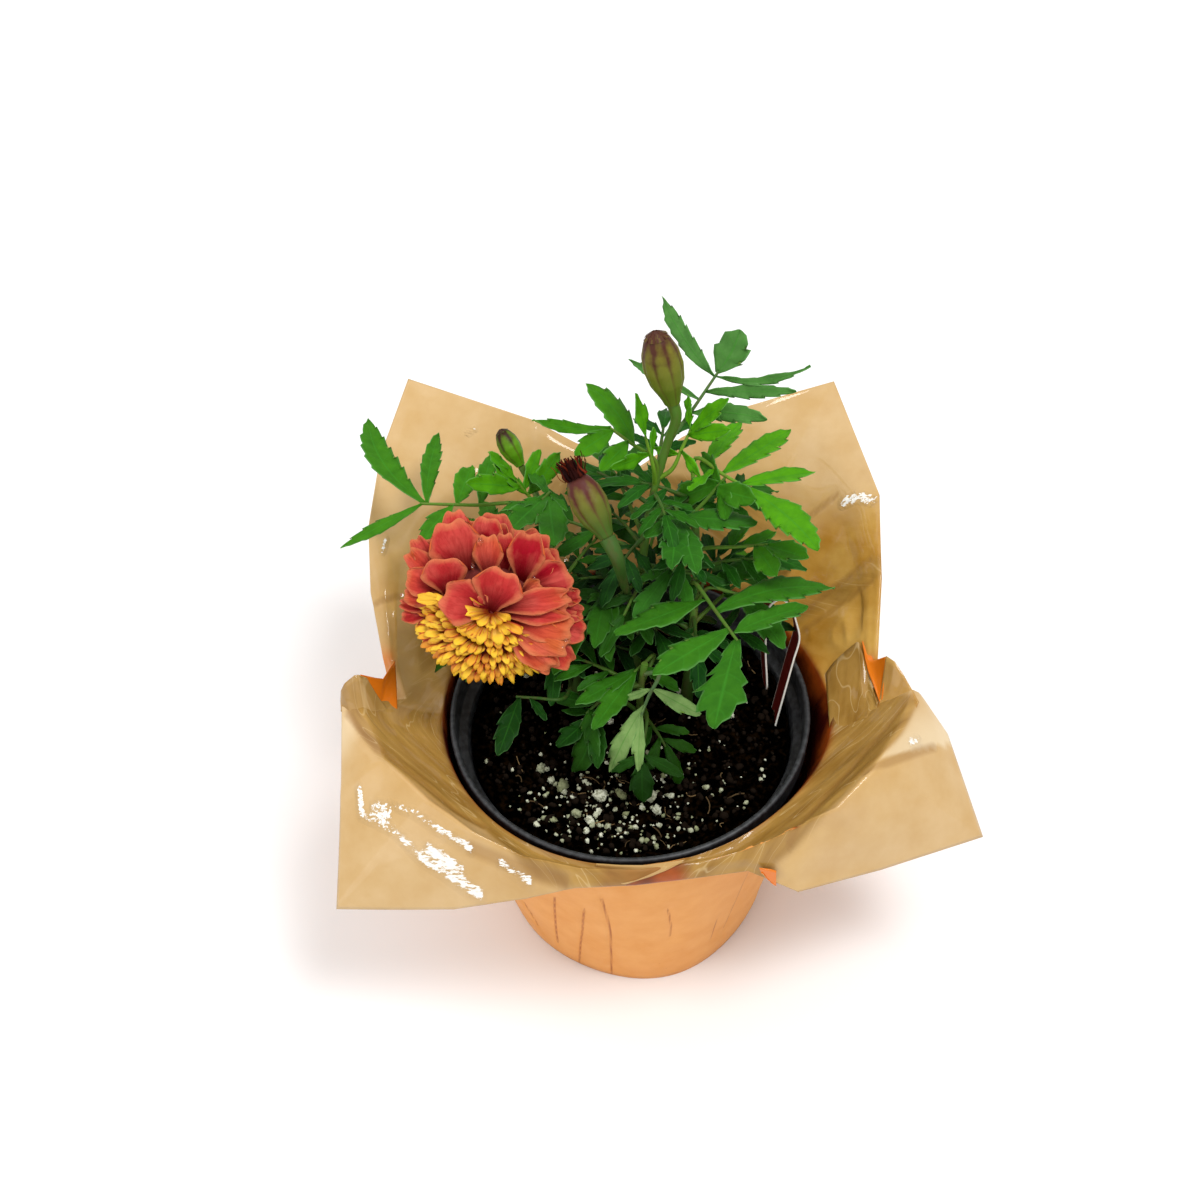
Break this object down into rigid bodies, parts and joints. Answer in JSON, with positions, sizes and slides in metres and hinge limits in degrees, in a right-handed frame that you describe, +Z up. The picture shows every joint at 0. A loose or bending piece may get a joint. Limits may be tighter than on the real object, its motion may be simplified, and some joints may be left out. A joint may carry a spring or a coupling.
{
  "type": "potted french marigold",
  "caption": "Bushy marigold with an open bloom and closed buds, in a nursery pot of soil dressed in pleated glossy paper.",
  "frame": {"origin": "centre of the paper cover's flat base, on the surface it stands on", "axes": "+Z up through the pot, -Y towards the front, where the bloom faces"},
  "size_m": [0.1928, 0.1708, 0.1909],
  "materials": {
    "glossy_paper": "glossy tan wrapping paper, orange on its outside",
    "pot_plastic": "thin dark grey grower's pot plastic",
    "potting_soil": "dark damp peat mix with pale grains",
    "label_plastic": "thin printed plastic, maroon face, white edges",
    "foliage": "soft green leaf with paler veins and underside",
    "coral_petal": "velvety coral red petal with paler orange rim",
    "yellow_floret": "waxy yellow floret with orange red edge",
    "bud_skin": "ribbed olive green bud, brown purple towards its tip",
    "dried_petal": "dried dark maroon petal"
  },
  "bodies": {
    "root": {"pot_cover": "glossy_paper", "nursery_pot": "pot_plastic", "soil": "potting_soil", "plant_label": "label_plastic", "leafy_stem_left": "foliage", "leafy_stem_centre": "foliage", "leafy_stem_right": "foliage", "leafy_stem_front": "foliage", "bloom_petals": "coral_petal", "bloom_florets": "yellow_floret", "tall_bud": "bud_skin", "faded_bud": "bud_skin", "small_bud": "bud_skin", "faded_bud_petals": "dried_petal"}
  },
  "joints": []
}
